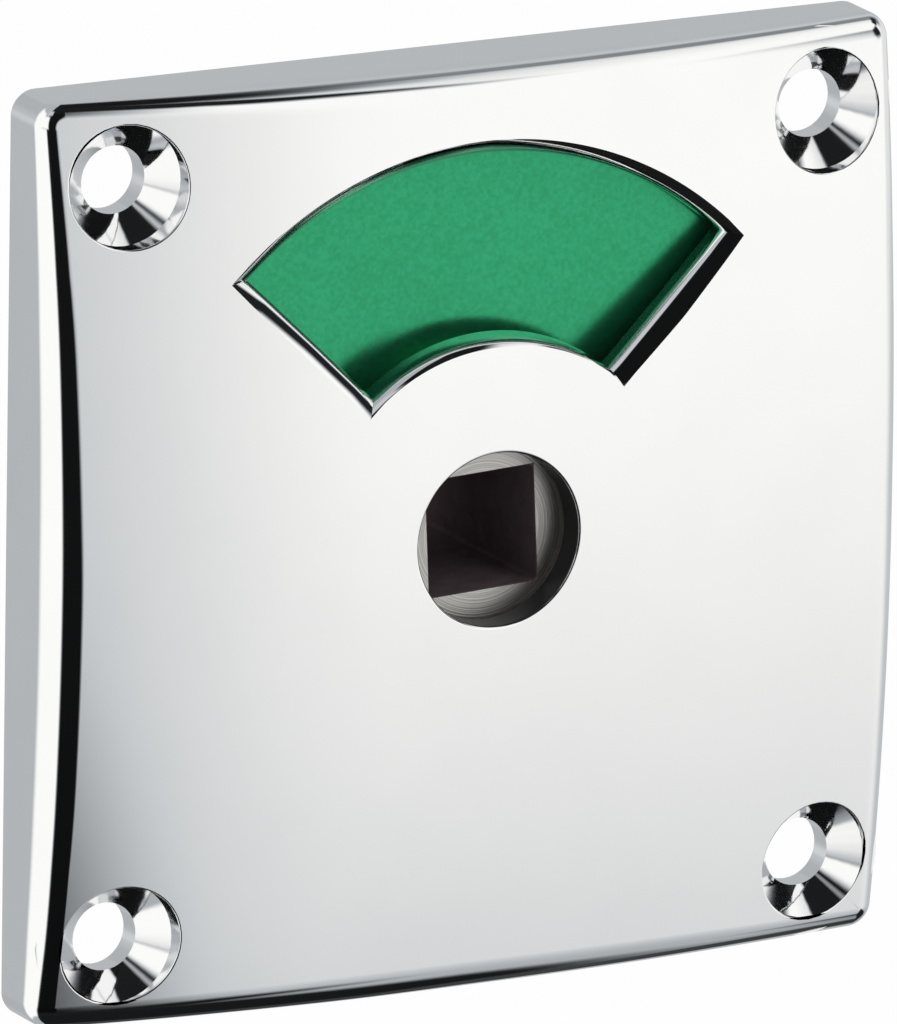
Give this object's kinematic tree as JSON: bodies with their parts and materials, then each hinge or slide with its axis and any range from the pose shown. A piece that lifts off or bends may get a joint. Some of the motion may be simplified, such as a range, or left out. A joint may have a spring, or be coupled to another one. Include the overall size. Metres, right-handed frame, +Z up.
{
  "type": "door occupancy indicator",
  "caption": "Square domed chrome door plate with a sector window over a turning vacant and engaged disc, a square spindle socket in the middle and countersunk corner holes.",
  "frame": {"origin": "on the spindle axis, in the plane of the door face that the plate's rim rests on", "axes": "-Y out of the plate's front, +Y into the door along the spindle, +Z up the door, +X to the right seen from the front"},
  "size_m": [0.064, 0.0194, 0.064],
  "materials": {
    "chrome_plate": "polished chrome plate",
    "follower_steel": "turned, dull, darkened inside the socket",
    "disc_metal": "satin",
    "vacant_green": "satin green colour film",
    "engaged_red": "satin red colour film",
    "spring_steel": "phosphated spring steel",
    "bush_plastic": "natural nylon",
    "washer_steel": "plain steel",
    "zinc_steel": "bright zinc plate",
    "screw_steel": "zinc plated"
  },
  "bodies": {
    "plate": {"face_plate": "chrome_plate", "front_bush": "bush_plastic", "rear_bush": "bush_plastic", "thrust_washer": "washer_steel", "spring_washer": "spring_steel", "bearing_strap": "zinc_steel", "strap_screws": "screw_steel", "stop_pin": "screw_steel"},
    "indicator": {"follower": "follower_steel", "indicator_disc": "disc_metal", "green_field": "vacant_green", "red_field": "engaged_red", "retaining_ring": "spring_steel"}
  },
  "joints": [
    {"name": "spindle_turn", "type": "hinge", "parent": "plate", "child": "indicator", "pos_m": [0, 0, 0], "axis": [0, 1, 0], "range_deg": [0, 98]}
  ]
}
